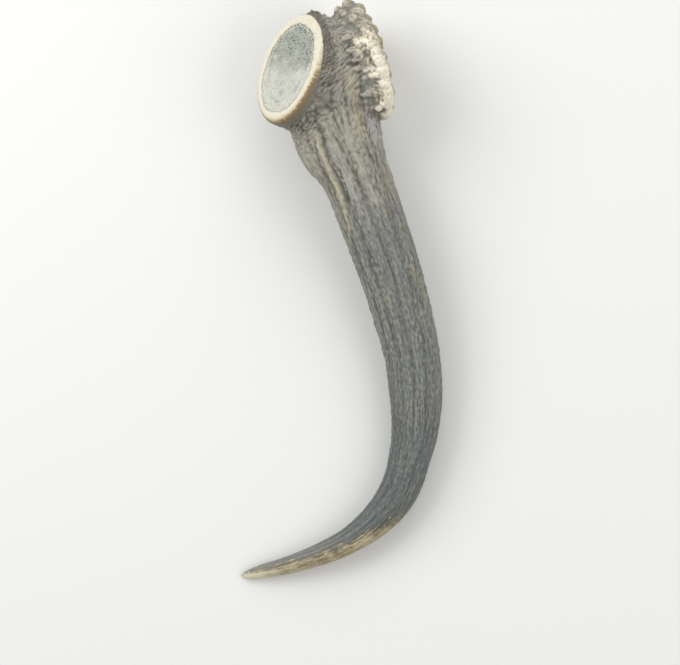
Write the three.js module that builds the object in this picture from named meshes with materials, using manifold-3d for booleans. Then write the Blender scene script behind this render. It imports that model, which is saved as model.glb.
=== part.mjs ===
// A deer antler cut down to its lower end: the burr and a short sawn stub of the main beam, with the long brow
// tine growing from it. It lies on its side on a level surface, on the edge of the burr and the belly and tip of
// the tine. Millimetres, +Z up. The origin is on that surface, under the middle of the antler's outline.
// +Y runs from the tine towards the burr, and -X is the side that the beam and the tip of the tine point to.
import * as THREE from 'three';
import { mergeVertices } from 'three/addons/utils/BufferGeometryUtils.js';
import Module from 'manifold-3d';

const wasm = await Module();
wasm.setup();

// ---------- driving dimensions, in millimetres ----------

// Main beam. Its axis leaves the burr nearly level and climbs to the sawn face.
const BURR_CENTRE = new THREE.Vector3(12.2, 116.8, 30.7);
const BURR_AXIS = new THREE.Vector3(-0.92, -0.33, 0.2).normalize(); // from the burr towards the beam
const BURR_ACROSS = new THREE.Vector3(-0.34, 0.94, 0.06);
const SAWN_CENTRE = new THREE.Vector3(-26, 111.5, 49);
const SAWN_NORMAL = new THREE.Vector3(-0.67, 0.23, 0.706).normalize();
const SAWN_ACROSS = new THREE.Vector3(0.32, 0.95, 0);
const BEAM_LEAD = 17; // how far each end of the axis runs straight before it bends
const SAWN_EDGE = 3; // radius of the worn edge around the sawn face

// Half widths of the beam at distances along its axis from the middle of the burr, across the fork and through it.
const BEAM_SECTIONS = [
  { along: -6.5, across: 13, deep: 12 }, // the convex seal where the antler left the skull
  { along: -5, across: 22, deep: 21 },
  { along: -2.5, across: 27.5, deep: 26.5 },
  { along: 0.5, across: 29.6, deep: 28.2 }, // the rim of the burr
  { along: 4, across: 28.6, deep: 27 },
  { along: 8.5, across: 25.8, deep: 23.8 },
  { along: 16, across: 27.4, deep: 22.5 },
  { along: 27, across: 29.4, deep: 21.5 },
  { along: 38, across: 28.6, deep: 21 },
];

// Burr: bony pearls that stand out from the flared foot of the beam, a coarse row on the rim and a fine one above it.
const RIM_PEARLS = { count: 20, ring: 26.6, along: 0.3, half: [4.9, 5.6, 4.6] };
const FOOT_PEARLS = { count: 17, ring: 25.6, along: 6.2, half: [3.2, 3.6, 4.2] };
const BEADS = 5; // small pearls strewn over the beam above them
const BEAD_SHARES = { near: 0.42, far: 0.6 }; // shares of the beam's profile that they lie between
const BEAD_RADIUS = 1.9;

// Brow tine: its middle line and half widths, from inside the beam to the tip.
const TINE_SECTIONS = [
  { at: [-7.5, 100, 34], across: 22, deep: 20 },
  { at: [-0.5, 77.5, 31], across: 21.9, deep: 19 },
  { at: [7.6, 60.4, 28.5], across: 17, deep: 17 },
  { at: [15.1, 40.2, 26], across: 16.4, deep: 16.2 },
  { at: [25, 12.5, 22], across: 15.9, deep: 15.4 },
  { at: [31.8, -10, 18.5], across: 15, deep: 14.5 },
  { at: [36.3, -28, 15.7], across: 14, deep: 13.5 },
  { at: [38.7, -50, 13], across: 13.4, deep: 12.6 },
  { at: [38.2, -69.5, 11.8], across: 11.8, deep: 11.6 },
  { at: [35.3, -84.3, 11.3], across: 10.5, deep: 10.8 },
  { at: [30, -100.1, 10.6], across: 9.8, deep: 9.7 },
  { at: [19.6, -114, 9.8], across: 8.5, deep: 8.6 },
  { at: [5.4, -125.2, 8.7], across: 6.7, deep: 7.4 },
  { at: [-8.5, -132, 7.4], across: 5.7, deep: 6.3 },
  { at: [-26.5, -138.4, 5.3], across: 4.5, deep: 5 },
  { at: [-39.5, -141.7, 3.6], across: 3.7, deep: 3.6 },
  { at: [-47.5, -143.8, 2.2], across: 2.3, deep: 2.2 },
  { at: [-51.2, -145, 1.2], across: 0.6, deep: 0.7 },
];

// The plane at the fork where the tine is parted from the beam, and the gap left between the two.
const FORK_POINT = new THREE.Vector3(2, 80, 30);
const FORK_NORMAL = new THREE.Vector3(0.12, -0.99, -0.06).normalize(); // points down the tine
const FORK_GAP = 0.3;

// Furrows: rounded ridges with narrow grooves between them, running along the beam and the tine.
const WIDE_RIDGES = 10;
const FINE_RIDGES = 15;
const WIDE_RIDGE_HEIGHT = 1.6;
const FINE_RIDGE_HEIGHT = 0.6;
const RIDGE_CROWDING = { amount: 0.22, phase: 1 }; // how the ridges crowd together on one side of the top
const RIDGE_START = -0.29; // radians from the top of the piece to the first groove
const RIDGE_SPIRAL = 0.5; // radians that the ridges turn from one end to the other

// Faceting.
const TINE_SIDES = 36;
const TINE_RINGS = 48;
const BEAM_SIDES = 36;
const BEAM_RINGS = 21;

// ---------- helpers ----------

const mix = THREE.MathUtils.lerp;
const smooth = THREE.MathUtils.smoothstep;

// A repeatable number from 0 to 1 for each whole number and purpose.
function scatter(index, purpose) {
  const value = Math.sin(index * 12.9898 + purpose * 78.233) * 43758.5453;
  return value - Math.floor(value);
}

// Height of the furrowed surface over the smooth one, from -1 to about 0.5, at an angle round the piece and a
// share of its length.
function furrow(angle, share) {
  const fromTop = angle + Math.PI / 2;
  const crowding = RIDGE_CROWDING.amount * Math.sin(2 * fromTop + RIDGE_CROWDING.phase);
  const turned = fromTop + crowding + RIDGE_START + RIDGE_SPIRAL * share;
  const wide = Math.abs(Math.sin((WIDE_RIDGES / 2) * turned)) - 0.65;
  const fine = Math.abs(Math.sin((FINE_RIDGES / 2) * turned + 1.3 * Math.sin(5 * share))) - 0.65;
  return WIDE_RIDGE_HEIGHT * wide + FINE_RIDGE_HEIGHT * fine;
}

// A closed solid swept along a route. section(share) gives the centre, the two half-width directions and the half
// widths at a share of the route, and relief(angle, share) how far the surface stands over the smooth form there.
function sweep(sides, rings, section, relief) {
  const geometry = new THREE.CylinderGeometry(1, 1, 1, sides, rings);
  const position = geometry.attributes.position;
  const point = new THREE.Vector3();
  for (let i = 0; i < position.count; i++) {
    point.fromBufferAttribute(position, i);
    const reach = Math.hypot(point.x, point.z);
    const angle = Math.atan2(point.z, point.x);
    const share = point.y + 0.5;
    const { centre, across, deep, halfAcross, halfDeep } = section(share);
    const raised = reach * relief(angle, share);
    point.copy(centre);
    point.addScaledVector(across, Math.cos(angle) * (reach * halfAcross + raised));
    point.addScaledVector(deep, Math.sin(angle) * (reach * halfDeep + raised));
    position.setXYZ(i, point.x, point.y, point.z);
  }
  return solidOf(geometry);
}

// A three.js geometry as a closed manifold-3d solid.
function solidOf(geometry) {
  const bare = geometry.clone();
  bare.deleteAttribute('normal');
  bare.deleteAttribute('uv');
  const merged = mergeVertices(bare, 1e-4);
  return new wasm.Manifold(
    new wasm.Mesh({
      numProp: 3,
      vertProperties: merged.attributes.position.array,
      triVerts: new Uint32Array(merged.index.array),
    }),
  );
}

// A manifold-3d solid as a three.js geometry with flat facets.
function geometryOf(solid) {
  const mesh = solid.getMesh();
  const indexed = new THREE.BufferGeometry();
  indexed.setAttribute('position', new THREE.BufferAttribute(new Float32Array(mesh.vertProperties), 3));
  indexed.setIndex(new THREE.BufferAttribute(new Uint32Array(mesh.triVerts), 1));
  const flat = indexed.toNonIndexed();
  flat.computeVertexNormals();
  return flat;
}

// ---------- main beam ----------

const beamAxis = new THREE.CubicBezierCurve3(
  BURR_CENTRE,
  BURR_CENTRE.clone().addScaledVector(BURR_AXIS, BEAM_LEAD),
  SAWN_CENTRE.clone().addScaledVector(SAWN_NORMAL, -BEAM_LEAD),
  SAWN_CENTRE,
);
const BEAM_LENGTH = beamAxis.getLength();

// The beam's half widths from the seal to the sawn face, ending in the worn edge, as (along, across, deep).
function beamProfile() {
  const rows = BEAM_SECTIONS.map((s) => new THREE.Vector3(s.along, s.across, s.deep));
  const last = BEAM_SECTIONS.at(-1);
  for (const turn of [0, 30, 60, 90]) {
    const angle = THREE.MathUtils.degToRad(turn);
    const inset = SAWN_EDGE * (1 - Math.cos(angle));
    const along = BEAM_LENGTH - SAWN_EDGE * (1 - Math.sin(angle));
    rows.push(new THREE.Vector3(along, last.across - inset, last.deep - inset));
  }
  return new THREE.CatmullRomCurve3(rows, false, 'centripetal');
}

const profile = beamProfile();

// The centre and directions of the beam at a distance along its axis. Beyond the burr the axis runs straight on.
function beamFrame(along) {
  const share = THREE.MathUtils.clamp(along / BEAM_LENGTH, 0, 1);
  const centre = beamAxis.getPointAt(share);
  const tangent = beamAxis.getTangentAt(share);
  if (along < 0) centre.addScaledVector(tangent, along);
  const across = BURR_ACROSS.clone().lerp(SAWN_ACROSS, share);
  across.addScaledVector(tangent, -across.dot(tangent)).normalize();
  const deep = tangent.clone().cross(across).negate();
  return { centre, tangent, across, deep };
}

function beamSection(share) {
  const row = profile.getPoint(share);
  return { ...beamFrame(row.x), halfAcross: row.y, halfDeep: row.z };
}

// The furrows start above the burr and are worn away at the sawn edge.
function beamRelief(angle, share) {
  const along = profile.getPoint(share).x;
  const shown = smooth(along, 4, 10) * (1 - smooth(along, BEAM_LENGTH - 9, BEAM_LENGTH - 3));
  return shown * furrow(angle, along / BEAM_LENGTH);
}

// ---------- burr ----------

// One bony lump: a rounded nugget, pushed out of round by its own scatter.
function nugget(index, centre, directions, halfSizes) {
  const geometry = new THREE.IcosahedronGeometry(1, 1);
  const position = geometry.attributes.position;
  const point = new THREE.Vector3();
  for (let i = 0; i < position.count; i++) {
    point.fromBufferAttribute(position, i);
    const bump = 1 + 0.07 * Math.sin(3 * point.x + 5 * point.y + 4 * point.z + index);
    const placed = centre.clone();
    placed.addScaledVector(directions[0], point.x * bump * halfSizes[0]);
    placed.addScaledVector(directions[1], point.y * bump * halfSizes[1]);
    placed.addScaledVector(directions[2], point.z * bump * halfSizes[2]);
    position.setXYZ(i, placed.x, placed.y, placed.z);
  }
  return solidOf(geometry);
}

// One row of the burr's pearls, evenly spaced round the beam but uneven in size and height.
function pearlRow(row, purpose) {
  const pearls = [];
  for (let i = 0; i < row.count; i++) {
    const angle = ((i + 0.6 * (scatter(i, purpose) - 0.5)) / row.count) * 2 * Math.PI;
    const size = mix(0.72, 1.16, scatter(i, purpose + 1));
    const { centre, tangent, across, deep } = beamFrame(row.along + mix(-1.6, 1.6, scatter(i, purpose + 2)));
    const outward = across.clone().multiplyScalar(Math.cos(angle)).addScaledVector(deep, Math.sin(angle));
    const round = tangent.clone().cross(outward);
    const place = centre.clone().addScaledVector(outward, row.ring + mix(-0.9, 0.9, scatter(i, purpose + 3)));
    const halfSizes = row.half.map((half) => half * size);
    pearls.push(nugget(i, place, [outward, round, tangent], halfSizes));
  }
  return pearls;
}

// Small pearls strewn over the foot of the beam, fewer and smaller away from the burr.
function beads() {
  const made = [];
  for (let i = 0; i < BEADS; i++) {
    const angle = 2 * Math.PI * ((i * 0.618) % 1);
    const share = mix(BEAD_SHARES.near, BEAD_SHARES.far, scatter(i, 9) ** 1.6);
    const { centre, tangent, across, deep, halfAcross, halfDeep } = beamSection(share);
    const outward = across.clone().multiplyScalar(Math.cos(angle)).addScaledVector(deep, Math.sin(angle));
    const place = centre.clone();
    place.addScaledVector(across, Math.cos(angle) * halfAcross);
    place.addScaledVector(deep, Math.sin(angle) * halfDeep);
    const radius = BEAD_RADIUS * mix(0.8, 1.3, scatter(i, 10));
    const round = tangent.clone().cross(outward);
    made.push(nugget(i, place, [outward, round, tangent], [radius, radius, radius * 1.4]));
  }
  return made;
}

// ---------- brow tine ----------

const tineAxis = new THREE.CatmullRomCurve3(TINE_SECTIONS.map((s) => new THREE.Vector3(...s.at)));
const tineHalves = new THREE.CatmullRomCurve3(TINE_SECTIONS.map((s) => new THREE.Vector3(s.across, s.deep, 0)));
const UP = new THREE.Vector3(0, 0, 1);

function tineSection(share) {
  const centre = tineAxis.getPoint(share);
  const tangent = tineAxis.getTangent(share);
  const across = UP.clone().cross(tangent).normalize();
  const deep = tangent.clone().cross(across).negate();
  const halves = tineHalves.getPoint(share);
  return { centre, across, deep, halfAcross: halves.x, halfDeep: halves.y };
}

// The furrows are deepest at the root and die out towards the polished tip.
function tineRelief(angle, share) {
  const depth = mix(1, 0.25, smooth(share, 0.1, 0.75)) * (1 - smooth(share, 0.8, 0.97));
  return depth * furrow(angle, share);
}

// ---------- the antler, parted at the fork ----------

// A block that fills the space on the tine's side of the fork plane, moved along the plane's normal.
function tineSide(offset) {
  const reach = 400;
  const block = new THREE.BoxGeometry(reach, reach, reach);
  block.translate(0, 0, reach / 2);
  block.applyQuaternion(new THREE.Quaternion().setFromUnitVectors(UP, FORK_NORMAL));
  const place = FORK_POINT.clone().addScaledVector(FORK_NORMAL, offset);
  block.translate(place.x, place.y, place.z);
  return solidOf(block);
}

const boneMaterial = new THREE.MeshStandardMaterial({ color: 0x77716a, roughness: 0.72, metalness: 0 });
const tineMaterial = new THREE.MeshStandardMaterial({ color: 0x66645d, roughness: 0.6, metalness: 0 });

const beamSolid = sweep(BEAM_SIDES, BEAM_RINGS, beamSection, beamRelief);
const tineSolid = sweep(TINE_SIDES, TINE_RINGS, tineSection, tineRelief);
const whole = [...pearlRow(RIM_PEARLS, 1), ...pearlRow(FOOT_PEARLS, 5), ...beads(), tineSolid].reduce((grown, piece) => grown.add(piece), beamSolid);

const beam = new THREE.Mesh(geometryOf(whole.subtract(tineSide(0))), boneMaterial);
beam.name = 'beam';
const browTine = new THREE.Mesh(geometryOf(whole.intersect(tineSide(FORK_GAP))), tineMaterial);
browTine.name = 'brow_tine';

const antler = new THREE.Group();
antler.add(beam, browTine);

export default antler;
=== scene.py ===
"""A deer antler cut down to its foot: the burr, a short sawn stub of the main beam and the long brow tine.

It grew as one piece, so it is one mesh. Plain blanks of the beam and the tine are extruded, bent to their
runs and joined, the fork is filleted, the pearls of the burr are set on, and the furrows are then carved
along the grain. Lengths are in millimetres unless a docstring says otherwise.
"""

import itertools
import logging
import math
from dataclasses import dataclass, field
from enum import Enum, IntEnum
from typing import Sequence

import bpy
import numpy as np
from mathutils import Matrix, Vector


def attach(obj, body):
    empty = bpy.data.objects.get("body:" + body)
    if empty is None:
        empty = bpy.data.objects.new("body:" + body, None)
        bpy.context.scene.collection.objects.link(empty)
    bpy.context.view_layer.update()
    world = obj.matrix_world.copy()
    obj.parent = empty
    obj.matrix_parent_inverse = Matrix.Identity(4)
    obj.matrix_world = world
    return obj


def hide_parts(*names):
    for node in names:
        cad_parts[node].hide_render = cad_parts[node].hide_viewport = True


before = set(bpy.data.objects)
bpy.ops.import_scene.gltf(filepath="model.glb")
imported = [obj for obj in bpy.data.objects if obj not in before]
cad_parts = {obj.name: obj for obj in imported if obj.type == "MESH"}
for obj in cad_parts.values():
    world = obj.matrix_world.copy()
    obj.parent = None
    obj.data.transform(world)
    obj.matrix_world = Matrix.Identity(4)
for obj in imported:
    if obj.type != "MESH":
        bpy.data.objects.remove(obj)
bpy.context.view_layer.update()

logging.basicConfig(level=logging.INFO, format="%(levelname)s %(message)s")
log = logging.getLogger("antler")

MM = 0.001
TINY = 1e-12
UP = np.array([0.0, 0.0, 1.0])
NOISE_GAIN = 1.6
CELL_MARGIN = 0.15
GRAIN_MIDDLE = 3.0
READ_AT_ONCE = 20000

Array = np.ndarray
Triple = tuple[float, float, float]
Value = bpy.types.NodeSocket


class Seed(IntEnum):
    """The pattern that each noise draws."""

    WIDE, DRIFT, SWELL, RIDGE, FINE, GRIT, GRANULE, STRAY = 3, 4, 5, 6, 8, 9, 10, 16
    BURR_EDGE, SEAL_EDGE, MARK_WIDTH, MARK_WEAR = 12, 13, 14, 15
    LUMP, UNEVEN, BURR_GRIT, BLEACH, SEAL_GRAIN, SEAL_SWELL, KNOB = 63, 64, 65, 66, 67, 68, 69
    CORE, CORE_EDGE, RING, RING_EDGE, PORE, CORE_GRAIN, SAW = 71, 72, 73, 74, 75, 76, 77


# ---------- number helpers ----------


def unit(vectors: Array) -> Array:
    """Scale vectors, one in each row, to length 1."""
    return vectors / np.maximum(np.linalg.norm(vectors, axis=-1, keepdims=True), TINY)


def smoothstep(low: float, high: float, values: Array) -> Array:
    """Rise smoothly from 0 at low to 1 at high."""
    share = np.clip((values - low) / (high - low), 0.0, 1.0)
    return share * share * (3.0 - 2.0 * share)


def mix(low: Array, high: Array, share: Array) -> Array:
    """Blend from low to high."""
    return low + (high - low) * share


def dome(distance: Array, reach: float) -> Array:
    """Fall from 1 at no distance to 0 at the reach, as a round dome does."""
    return np.clip(1 - (distance / reach) ** 2, 0, 1)


def scatter(index: float, purpose: int) -> float:
    """Give a repeatable number from 0 to 1 for each whole number and purpose."""
    value = math.sin(index * 12.9898 + purpose * 78.233) * 43758.5453
    return value - math.floor(value)


def lengths_along(points: Array) -> Array:
    """Measure the distance along a line at each of its points, one in each row."""
    return np.concatenate([[0.0], np.cumsum(np.linalg.norm(np.diff(points, axis=0), axis=1))])


def read_rows(at: Array, places: Array, rows: Array) -> Array:
    """Read rows of values, given at places along a line, at other places along it."""
    return np.stack([np.interp(at, places, column) for column in rows.T], axis=1)


def curve_through(points: Array, shares: Array) -> Array:
    """Follow a centripetal Catmull-Rom curve.

    Args:
        points: the points that it passes through, one in each row, in any number of dimensions.
        shares: places on it from 0 to 1, with an equal share for each gap between points.

    Returns:
        One row for each share.
    """
    ends = 2 * points[0] - points[1], 2 * points[-1] - points[-2]
    padded = np.vstack([ends[0], points, ends[1]])
    place = np.clip(shares, 0, 1) * (len(points) - 1)
    index = np.minimum(place.astype(int), len(points) - 2)
    p0, p1, p2, p3 = (padded[index + k] for k in range(4))
    gaps = (p0, p1), (p1, p2), (p2, p3)
    d0, d1, d2 = (np.sqrt(np.linalg.norm(b - a, axis=1))[:, None] for a, b in gaps)
    leave = ((p1 - p0) / d0 - (p2 - p0) / (d0 + d1) + (p2 - p1) / d1) * d1
    arrive = ((p2 - p1) / d1 - (p3 - p1) / (d1 + d2) + (p3 - p2) / d2) * d1
    w = (place - index)[:, None]
    square, cube = 3 * (p2 - p1) - 2 * leave - arrive, 2 * (p1 - p2) + leave + arrive
    return p1 + leave * w + square * w**2 + cube * w**3


def cell_number(cells: Array, seed: int) -> Array:
    """Scramble whole-number cells.

    Args:
        cells: the cells, one in each row.
        seed: picks one scramble of many.

    Returns:
        A whole number of 32 bits for each cell.
    """
    mixed = cells[:, 0] * 73856093 ^ cells[:, 1] * 19349663 ^ cells[:, 2] * 83492791 ^ seed * 2654435761
    mixed = ((mixed & 0xFFFFFFFF) ^ ((mixed & 0xFFFFFFFF) >> 15)) * 2246822519 & 0xFFFFFFFF
    return (mixed ^ (mixed >> 13)) * 3266489917 & 0xFFFFFFFF


SLOPES = unit(np.random.RandomState(11).normal(size=(256, 3)))


def noise(points: Array, seed: int) -> Array:
    """Draw smooth gradient noise, with features about one unit across.

    Args:
        points: where it is read, one point in each row.
        seed: picks one pattern of many.

    Returns:
        A number from about -1 to 1 for each point.
    """
    base = np.floor(points).astype(np.int64)
    offset = points - base
    fade = offset**3 * (offset * (offset * 6 - 15) + 10)
    total = np.zeros(len(points))
    for corner in itertools.product((0, 1), repeat=3):
        corner = np.array(corner)
        slope = SLOPES[cell_number(base + corner, seed) % len(SLOPES)]
        weight = np.prod(np.where(corner == 1, fade, 1 - fade), axis=1)
        total += weight * np.einsum("ij,ij->i", slope, offset - corner)
    return total * NOISE_GAIN


def cells(points: Array, seed: int) -> tuple[Array, Array]:
    """Scatter one point in each unit cell.

    Args:
        points: where the cells are read, one point in each row.
        seed: picks one pattern of many.

    Returns:
        The distance to the nearest scattered point, and a number from 0 to 1 that is that point's own.
    """
    base = np.floor(points).astype(np.int64)
    nearest = np.full(len(points), 9.0)
    own = np.zeros(len(points))
    for shift in itertools.product((-1, 0, 1), repeat=3):
        cell = base + np.array(shift)
        numbers = [cell_number(cell, seed + k) / 0xFFFFFFFF for k in range(3)]
        spot = cell + CELL_MARGIN + (1 - 2 * CELL_MARGIN) * np.stack(numbers, axis=1)
        distance = np.linalg.norm(spot - points, axis=1)
        closer = distance < nearest
        nearest = np.where(closer, distance, nearest)
        own = np.where(closer, (numbers[0] * 7.31 + numbers[1] * 3.17) % 1.0, own)
    return nearest, own


@dataclass(frozen=True)
class Fade:
    """A value that changes smoothly from one to another.

    Attributes:
        low: where it starts to change.
        high: where it has changed.
        first: the value before.
        last: the value after.
    """

    low: float
    high: float
    first: float = 0.0
    last: float = 1.0

    def at(self, places: Array) -> Array:
        """Read the value at places."""
        return mix(self.first, self.last, smoothstep(self.low, self.high, places))


# ---------- the runs that the limbs follow ----------


@dataclass
class Reading:
    """Where points lie on a run.

    Attributes:
        along: distance along the run.
        x: distance across the run from its middle line.
        y: distance through the run from its middle line.
        out: how far the point stands outside the smooth limb.
        length: the run's whole length.
    """

    along: Array
    x: Array
    y: Array
    out: Array
    length: float

    @property
    def share(self) -> Array:
        """The share of the run's length that each point is at."""
        return self.along / self.length

    @property
    def angle(self) -> Array:
        """The angle round the run, in radians."""
        return np.arctan2(self.y, self.x)

    def unbent(self, reach: float) -> Array:
        """Give the grain's across, through and along, as if the limb were of one half width, its reach."""
        keep = reach / np.maximum(np.hypot(self.x, self.y), GRAIN_MIDDLE)
        return np.stack([self.x * keep, self.y * keep, self.along], axis=1)


@dataclass
class Run:
    """The middle line of a limb, with its half widths, sampled closely.

    Attributes:
        centre: points of the middle line.
        across: the direction of the limb's width at each.
        deep: the direction of the limb's depth at each.
        tangent: the direction of the middle line at each.
        half: the two half widths at each.
        along: the distance along the line at each.
    """

    centre: Array
    across: Array
    deep: Array
    tangent: Array
    half: Array
    along: Array

    @property
    def length(self) -> float:
        """The distance along the run at its far end."""
        return float(self.along[-1])

    def at(self, rows: Array, along: Array) -> Array:
        """Read values that go with the run at distances along it."""
        return read_rows(along, self.along, rows)

    def centre_at(self, along: Array) -> Array:
        """Find the middle line at distances along it, and straight on past both ends."""
        past = along - np.clip(along, self.along[0], self.along[-1])
        return self.at(self.centre, along) + unit(self.at(self.tangent, along)) * past[:, None]

    def bend(self, points: Array) -> Array:
        """Bend a straight limb to the run.

        Args:
            points: its points, as across, deep and along.

        Returns:
            Their places round the run.
        """
        along = points[:, 2]
        across, deep = unit(self.at(self.across, along)), unit(self.at(self.deep, along))
        return self.centre_at(along) + across * points[:, :1] + deep * points[:, 1:2]

    def read(self, points: Array) -> Reading:
        """Find where points lie on the run.

        Args:
            points: the points, one in each row.

        Returns:
            Their places.
        """
        along = np.empty(len(points))
        size = (self.centre**2).sum(axis=1)
        for start in range(0, len(points), READ_AT_ONCE):
            part = points[start : start + READ_AT_ONCE]
            near = np.argmin(size - 2 * part @ self.centre.T, axis=1)
            step = np.einsum("ij,ij->i", part - self.centre[near], self.tangent[near])
            along[start : start + READ_AT_ONCE] = self.along[near] + step
        offset = points - self.centre_at(along)
        x = np.einsum("ij,ij->i", offset, unit(self.at(self.across, along)))
        y = np.einsum("ij,ij->i", offset, unit(self.at(self.deep, along)))
        half = np.maximum(self.at(self.half, along), 0.3)
        ratio = np.hypot(x / half[:, 0], y / half[:, 1])
        past = np.maximum(self.along[0] - along, along - self.along[-1])
        return Reading(along, x, y, np.maximum((ratio - 1) * half.min(axis=1), past), self.length)


# ---------- furrows that both limbs share ----------


@dataclass(frozen=True)
class Furrows:
    """The ridges, grooves and granules that run along the antler.

    Each size is a width across the grain and a length along it. The sinks take the middle height of each
    pattern down to the smooth skin.
    """

    wide_ridges: int = 10
    wide_height: float = 1.4
    wide_sink: float = 0.65
    crowding: float = 0.22
    crowding_phase: float = 1.0
    start: float = -0.29
    spiral: float = 0.5
    wander: float = 0.16
    wander_size: Triple = (13, 13, 34)
    wander_reach: float = 15
    ridge_height: float = 0.52
    ridge_sink: float = 0.58
    ridge_size: Triple = (2.7, 2.7, 24.0)
    ridge_groove: float = 0.3
    drift: float = 0.4
    drift_size: Triple = (7, 7, 13)
    swell: Triple = (5, 5, 17)
    fine_height: float = 0.26
    fine_size: Triple = (1.5, 1.5, 7.0)
    grit_height: float = 0.26
    grit_size: Triple = (1.15, 1.15, 2.3)
    granule_height: float = 0.62
    granule_size: Triple = (1.9, 1.9, 4.0)
    granule_reach: float = 0.62
    stray: float = 0.35
    stray_size: Triple = (5, 5, 9)

    def wide(self, place: Reading) -> Array:
        """Raise the few broad ridges with gutters between them.

        Args:
            place: where the points lie on their limb.

        Returns:
            Their heights.
        """
        from_top = place.angle + math.pi / 2
        crowding = self.crowding * np.sin(2 * from_top + self.crowding_phase)
        wander = self.wander * noise(place.unbent(self.wander_reach) / self.wander_size, Seed.WIDE)
        turned = from_top + crowding + self.start + self.spiral * place.share + wander
        return self.wide_height * (np.abs(np.sin(self.wide_ridges / 2 * turned)) - self.wide_sink)

    def ridges(self, grain: Array) -> Array:
        """Raise the many narrow ridges, which wander, part and join.

        Args:
            grain: the points' places in the grain.

        Returns:
            Their heights.
        """
        drift = self.drift * noise(grain / self.drift_size, Seed.DRIFT)[:, None] * (1, 1, 0)
        swell = 0.75 + 0.5 * noise(grain / self.swell, Seed.SWELL)
        first = np.abs(noise(grain / self.ridge_size + drift, Seed.RIDGE))
        return self.ridge_height * swell * (np.tanh(first / self.ridge_groove) - self.ridge_sink)

    def fine(self, grain: Array) -> Array:
        """Raise short fine ridges that lie between and on the others."""
        first = noise(grain / self.fine_size, Seed.FINE)
        return self.fine_height * (0.45 - np.sqrt(first**2 + 0.004) * 1.6)

    def grit(self, grain: Array) -> Array:
        """Raise fine grit in rows along the grain."""
        return self.grit_height * noise(grain / self.grit_size, Seed.GRIT)

    def granules(self, grain: Array) -> Array:
        """Raise low long pearls that lie in rows, some of them twice as high as others.

        Args:
            grain: the points' places in the grain.

        Returns:
            Their heights.
        """
        stray = self.stray * noise(grain / self.stray_size, Seed.STRAY)[:, None] * (1, 1, 0)
        distance, own = cells(grain / self.granule_size + stray, Seed.GRANULE)
        return self.granule_height * dome(distance, self.granule_reach) * (0.25 + 0.75 * own**1.5)


FURROWS = Furrows()


# ---------- meshes by hand ----------


def deselect_all() -> None:
    """Leave nothing selected, so that an operator acts on new things alone."""
    bpy.ops.object.select_all(action="DESELECT")


def choose(*pieces: bpy.types.Object) -> None:
    """Select objects and nothing else, with the first of them active.

    Args:
        pieces: the objects.
    """
    deselect_all()
    for piece in pieces:
        piece.select_set(True)
    bpy.context.view_layer.objects.active = pieces[0]


def edit_all() -> None:
    """Start to edit the active mesh, with all of it selected."""
    bpy.ops.object.mode_set(mode="EDIT")
    bpy.ops.mesh.select_all(action="SELECT")


def stop_edit() -> None:
    """Leave edit mode."""
    bpy.ops.object.mode_set(mode="OBJECT")


def points_of(mesh: bpy.types.Mesh) -> Array:
    """Read a mesh's points.

    Args:
        mesh: the mesh.

    Returns:
        One point in each row.
    """
    flat = np.empty(len(mesh.vertices) * 3)
    mesh.vertices.foreach_get("co", flat)
    return flat.reshape(-1, 3) / MM


def put_points(mesh: bpy.types.Mesh, points: Array) -> None:
    """Write a mesh's points, one in each row."""
    mesh.vertices.foreach_set("co", (points * MM).ravel())
    mesh.update()


def apply(piece: bpy.types.Object, kind: str, **values: object) -> None:
    """Give a mesh a modifier and apply it.

    Args:
        piece: the mesh's object.
        kind: the kind of modifier.
        values: its settings.
    """
    choose(piece)
    made = piece.modifiers.new(kind.lower(), kind)
    for key, value in values.items():
        setattr(made, key, value)
    bpy.ops.object.modifier_apply(modifier=made.name)


def straight_blank(name: str, rings: Array, sides: int) -> bpy.types.Object:
    """Extrude a straight closed blank up the Z axis, ring by ring.

    Args:
        name: the object's name.
        rings: the height and the two half widths of each ring.
        sides: how many sides it has.

    Returns:
        The blank, at the origin.
    """
    deselect_all()
    bpy.ops.mesh.primitive_circle_add(vertices=sides, radius=1.0, fill_type="NGON")
    blank = bpy.context.object
    blank.name = name
    edit_all()
    first = rings[0] * MM
    bpy.ops.transform.resize(value=(first[1], first[2], 1), center_override=(0, 0, 0))
    bpy.ops.transform.translate(value=(0, 0, first[0]))
    for low, high in zip(rings, rings[1:]):
        rise = {"value": (0, 0, (high[0] - low[0]) * MM)}
        bpy.ops.mesh.extrude_region_move(TRANSFORM_OT_translate=rise)
        growth = (high[1] / low[1], high[2] / low[2], 1)
        bpy.ops.transform.resize(value=growth, center_override=(0, 0, high[0] * MM))
    stop_edit()
    return blank


def bend_blank(blank: bpy.types.Object, run: Run) -> bpy.types.Object:
    """Bend a straight blank to its run and turn its faces outwards.

    Args:
        blank: the blank.
        run: the run.

    Returns:
        The same blank.
    """
    put_points(blank.data, run.bend(points_of(blank.data)))
    choose(blank)
    edit_all()
    bpy.ops.mesh.normals_make_consistent(inside=False)
    stop_edit()
    return blank


def join(pieces: Sequence[bpy.types.Object], name: str) -> bpy.types.Object:
    """Join objects into one.

    Args:
        pieces: the objects.
        name: the name of the one that they become.

    Returns:
        That one.
    """
    choose(*pieces)
    bpy.ops.object.join()
    joined = bpy.context.object
    joined.name = name
    return joined


def fuse(piece: bpy.types.Object, voxel: float) -> None:
    """Make one closed skin of all that a mesh holds, with faces of one size."""
    apply(piece, "REMESH", mode="VOXEL", voxel_size=voxel * MM, adaptivity=0.0)


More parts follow.
